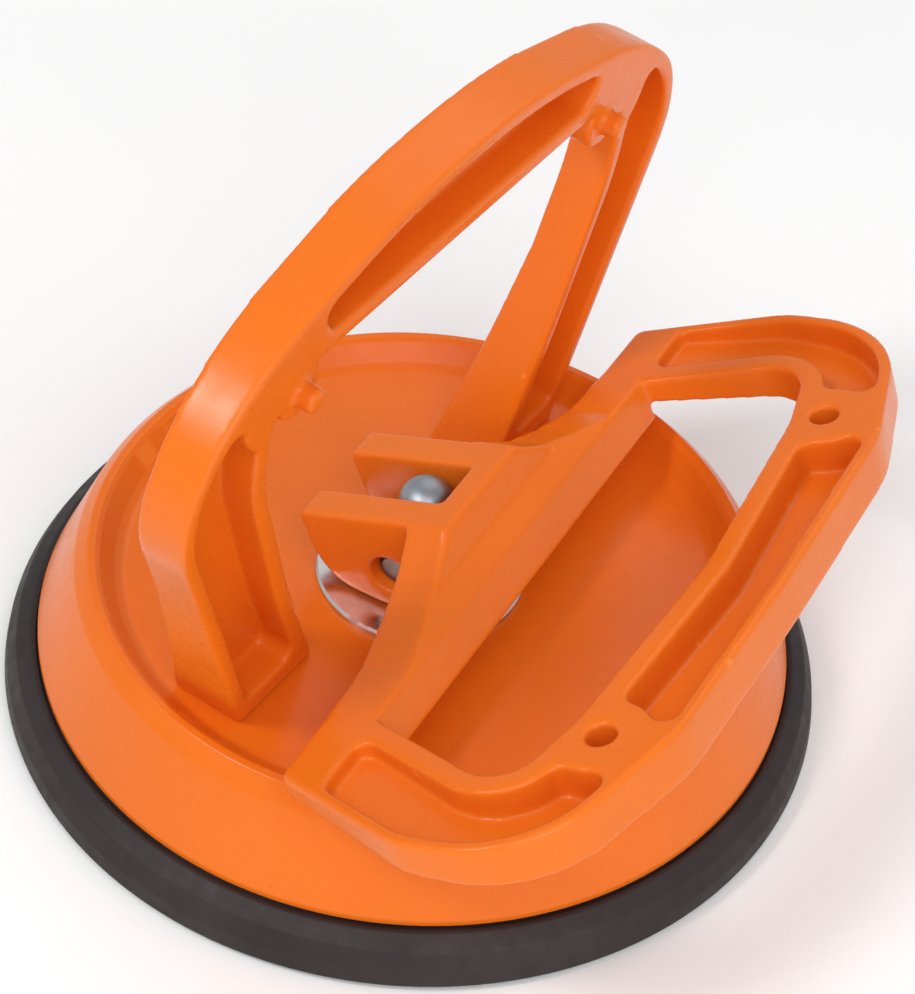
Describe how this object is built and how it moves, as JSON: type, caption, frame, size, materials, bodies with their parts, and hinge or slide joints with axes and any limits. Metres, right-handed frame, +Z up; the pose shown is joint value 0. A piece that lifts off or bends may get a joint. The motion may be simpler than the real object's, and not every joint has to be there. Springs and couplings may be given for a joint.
{
  "type": "vacuum suction cup lifter",
  "caption": "Hand suction lifter: round rubber pad under a moulded cup, a fixed bow handle, and a hinged cam lever that draws the pad's centre up to hold a smooth panel.",
  "frame": {"origin": "centre of the rubber pad's underside", "axes": "+Z up along the draw stud, away from the surface the pad grips; +X towards the lever's grip when released; Y along the pivot pin"},
  "size_m": [0.12, 0.1225, 0.0984],
  "materials": {
    "orange_abs": "semi-gloss moulded ABS",
    "orange_abs_lever": "semi-gloss moulded ABS",
    "black_rubber": "matte",
    "plated_steel": "bright zinc plated",
    "stud_steel": "satin zinc plated",
    "spring_steel": "oiled spring wire"
  },
  "bodies": {
    "housing": {"cup_housing": "orange_abs", "fixed_handle": "orange_abs", "wear_washer": "plated_steel", "suction_pad": "black_rubber"},
    "pad_plate": {"insert_plate": "plated_steel", "return_spring": "spring_steel"},
    "stud": {"draw_stud": "stud_steel", "plate_nut": "plated_steel", "pivot_pin": "plated_steel"},
    "lever": {"lever_handle": "orange_abs_lever"}
  },
  "joints": [
    {"name": "stud_lift", "type": "slide", "parent": "housing", "child": "pad_plate", "axis": [0, 0, 1], "range_m": [0, 0.0058], "deforming": ["return_spring", "suction_pad"]},
    {"name": "stud_swivel", "type": "hinge", "parent": "pad_plate", "child": "stud", "pos_m": [0, 0, 0], "axis": [0, 0, -1], "range_deg": [0, 5]},
    {"name": "lever_hinge", "type": "hinge", "parent": "stud", "child": "lever", "pos_m": [0, 0, 0.02685], "axis": [0.0872, -0.9962, 0], "range_deg": [0, 64.5]}
  ],
  "couplings": [
    {"joint": "stud_lift", "follows": "lever_hinge", "m_per_rad": 0.0051522},
    {"joint": "stud_swivel", "follows": "lever_hinge", "ratio": 0.077519}
  ]
}
